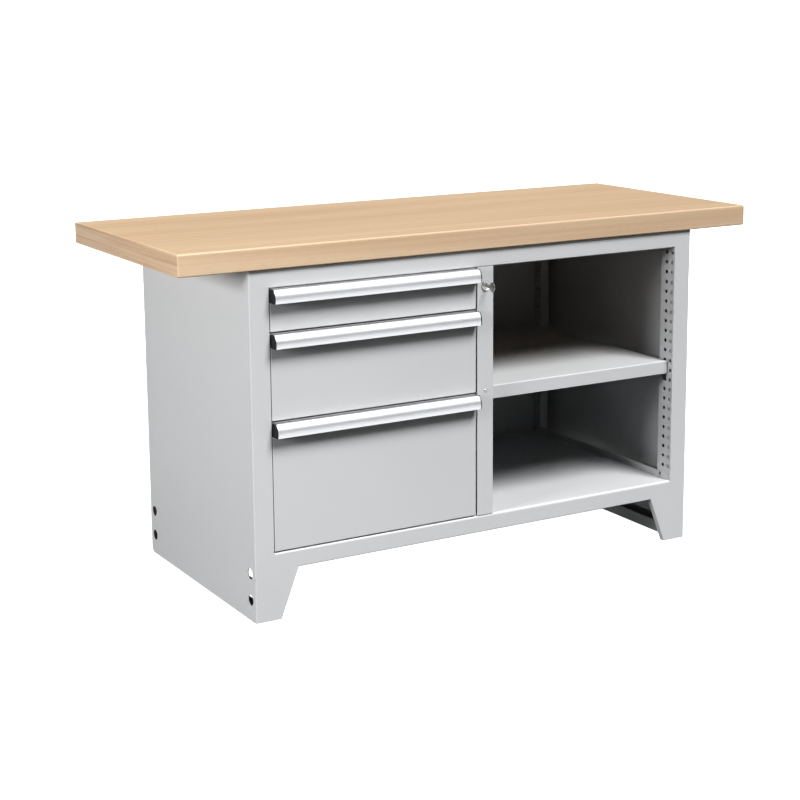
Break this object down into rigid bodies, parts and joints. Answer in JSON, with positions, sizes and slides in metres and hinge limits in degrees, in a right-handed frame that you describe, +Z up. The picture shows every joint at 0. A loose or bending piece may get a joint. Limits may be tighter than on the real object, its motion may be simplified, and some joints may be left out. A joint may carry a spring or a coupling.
{
  "type": "workbench with drawers",
  "caption": "Steel workbench with a beech worktop, lockable drawers on telescopic runners and an open bay with an adjustable shelf.",
  "frame": {"origin": "on the floor, under the centre of the bounding box (worktop's length, and from the key's front to the worktop's back edge)", "axes": "+X to the right along the worktop, +Y to the back, +Z up; the drawers open towards -Y"},
  "size_m": [1.55, 0.657, 0.85],
  "materials": {
    "beech": "oiled, smooth",
    "grey_powder_coat": "fine satin powder coat",
    "aluminium": "anodised satin",
    "black_plastic": "matt moulded",
    "zinc_plated_steel": "bright zinc plate",
    "nickel": "nickel plate, satin"
  },
  "bodies": {
    "frame": {"back_panel": "grey_powder_coat", "back_panel_screws": "zinc_plated_steel", "floor_panel": "grey_powder_coat", "floor_screws": "zinc_plated_steel", "gusset_left": "grey_powder_coat", "gusset_right": "grey_powder_coat", "lock_housing": "nickel", "partition": "grey_powder_coat", "runner_bottom_fixed": "zinc_plated_steel", "runner_middle_fixed": "zinc_plated_steel", "runner_top_fixed": "zinc_plated_steel", "shelf_clips": "zinc_plated_steel", "side_panel_left": "grey_powder_coat", "side_panel_right": "grey_powder_coat", "sill_left": "grey_powder_coat", "sill_right": "grey_powder_coat", "stile": "grey_powder_coat", "stile_rear": "grey_powder_coat", "stile_screw": "zinc_plated_steel", "top_angle_left": "grey_powder_coat", "top_angle_right": "grey_powder_coat", "top_crossbar": "grey_powder_coat", "top_rail_front": "grey_powder_coat", "top_rail_rear": "grey_powder_coat", "upright_front_left": "grey_powder_coat", "upright_front_right": "grey_powder_coat", "upright_rear_left": "grey_powder_coat", "upright_rear_right": "grey_powder_coat", "worktop": "beech", "worktop_screws": "zinc_plated_steel"},
    "drawer_bottom": {"drawer_bottom_box": "grey_powder_coat", "drawer_bottom_catch": "zinc_plated_steel", "drawer_bottom_front": "grey_powder_coat", "drawer_bottom_handle": "aluminium", "drawer_bottom_handle_caps": "black_plastic", "runner_bottom_inner": "zinc_plated_steel"},
    "runner_bottom": {"runner_bottom_middle": "zinc_plated_steel"},
    "drawer_middle": {"drawer_middle_box": "grey_powder_coat", "drawer_middle_catch": "zinc_plated_steel", "drawer_middle_front": "grey_powder_coat", "drawer_middle_handle": "aluminium", "drawer_middle_handle_caps": "black_plastic", "runner_middle_inner": "zinc_plated_steel"},
    "runner_middle": {"runner_middle_middle": "zinc_plated_steel"},
    "drawer_top": {"drawer_top_box": "grey_powder_coat", "drawer_top_catch": "zinc_plated_steel", "drawer_top_front": "grey_powder_coat", "drawer_top_handle": "aluminium", "drawer_top_handle_caps": "black_plastic", "runner_top_inner": "zinc_plated_steel"},
    "runner_top": {"runner_top_middle": "zinc_plated_steel"},
    "lock_core": {"lock_plug": "nickel", "key": "nickel", "lock_cam": "zinc_plated_steel"},
    "lock_bar": {"lock_bar": "zinc_plated_steel"},
    "shelf": {"shelf": "grey_powder_coat"}
  },
  "joints": [
    {"name": "drawer_bottom_slide", "type": "slide", "parent": "frame", "child": "drawer_bottom", "axis": [0, -1, 0], "range_m": [0, 0.48]},
    {"name": "runner_bottom_slide", "type": "slide", "parent": "frame", "child": "runner_bottom", "axis": [0, -1, 0], "range_m": [0, 0.24]},
    {"name": "drawer_middle_slide", "type": "slide", "parent": "frame", "child": "drawer_middle", "axis": [0, -1, 0], "range_m": [0, 0.48]},
    {"name": "runner_middle_slide", "type": "slide", "parent": "frame", "child": "runner_middle", "axis": [0, -1, 0], "range_m": [0, 0.24]},
    {"name": "drawer_top_slide", "type": "slide", "parent": "frame", "child": "drawer_top", "axis": [0, -1, 0], "range_m": [0, 0.48]},
    {"name": "runner_top_slide", "type": "slide", "parent": "frame", "child": "runner_top", "axis": [0, -1, 0], "range_m": [0, 0.24]},
    {"name": "lock_bar_slide", "type": "slide", "parent": "frame", "child": "lock_bar", "axis": [0, 0, 1], "range_m": [0, 0.008]},
    {"name": "key_turn", "type": "hinge", "parent": "frame", "child": "lock_core", "pos_m": [0, -0.2885, 0.713], "axis": [0, -1, 0], "range_deg": [0, 90]},
    {"name": "shelf_lift", "type": "slide", "parent": "frame", "child": "shelf", "axis": [0, 0, 1], "range_m": [0, 0.25]}
  ],
  "couplings": [
    {"joint": "runner_bottom_slide", "follows": "drawer_bottom_slide", "ratio": 0.5},
    {"joint": "runner_middle_slide", "follows": "drawer_middle_slide", "ratio": 0.5},
    {"joint": "runner_top_slide", "follows": "drawer_top_slide", "ratio": 0.5},
    {"joint": "key_turn", "follows": "lock_bar_slide", "rad_per_m": 196.34}
  ]
}
